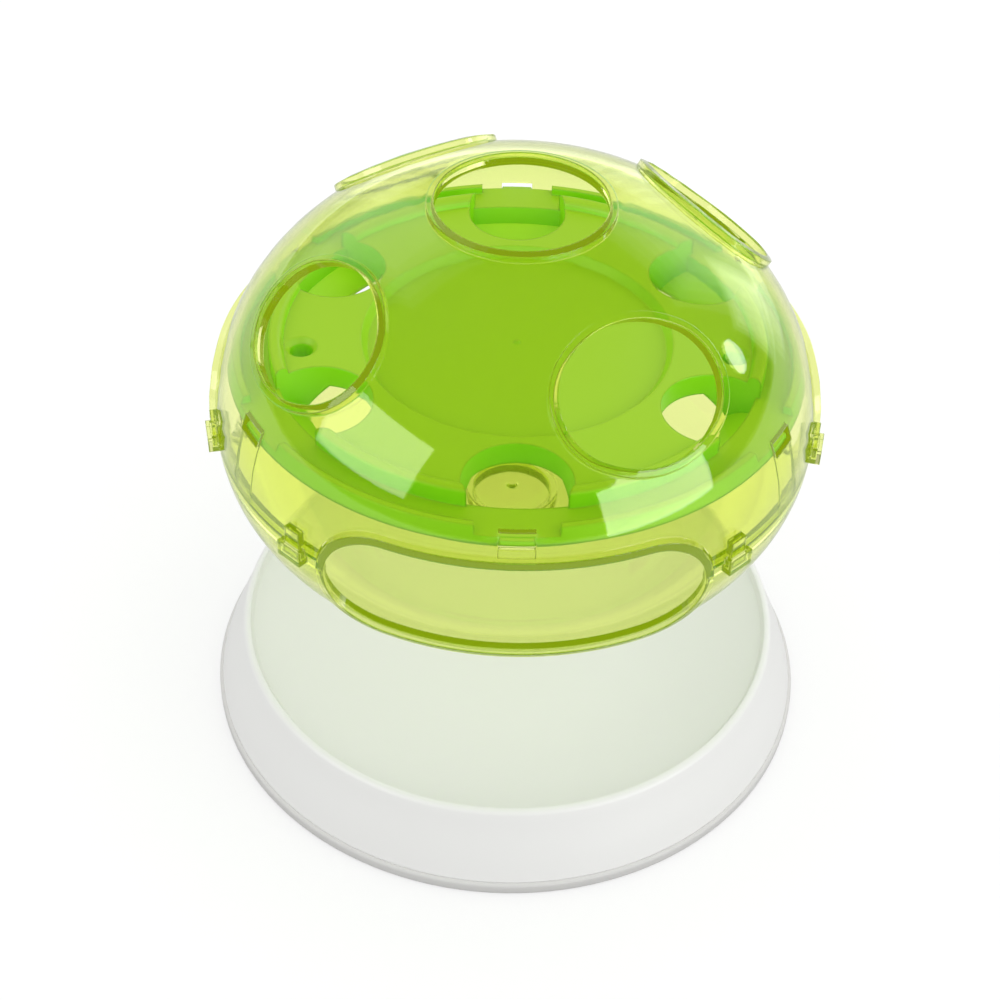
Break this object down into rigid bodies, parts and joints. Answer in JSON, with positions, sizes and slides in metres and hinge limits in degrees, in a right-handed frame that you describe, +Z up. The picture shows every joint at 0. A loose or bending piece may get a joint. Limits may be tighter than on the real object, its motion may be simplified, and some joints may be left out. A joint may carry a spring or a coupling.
{
  "type": "cat puzzle feeder",
  "caption": "See-through globe with paw holes, food openings and a maze tray inside, shown lifted off the round white catch dish that it sits in.",
  "frame": {"origin": "centre of the underside of the foot ring", "axes": "+Z up along the axis of dish and globe, -Y to the front food opening, +X to the right seen from the front"},
  "size_m": [0.206, 0.206, 0.198],
  "materials": {
    "white_plastic": "satin",
    "soft_foot": "matt",
    "clear_green": "gloss, see-through",
    "lime_plastic": "semi-gloss"
  },
  "bodies": {
    "base": {"base_dish": "white_plastic", "foot_ring": "soft_foot"},
    "globe": {"lower_bowl": "clear_green"},
    "lid": {"dome": "clear_green", "tray": "lime_plastic"}
  },
  "joints": [
    {"name": "globe_lift", "type": "slide", "parent": "base", "child": "globe", "axis": [0, 0, 1], "range_m": [-0.0644, 0]},
    {"name": "dome_lift", "type": "slide", "parent": "globe", "child": "lid", "axis": [0, 0, 1], "range_m": [0, 0.08]}
  ]
}
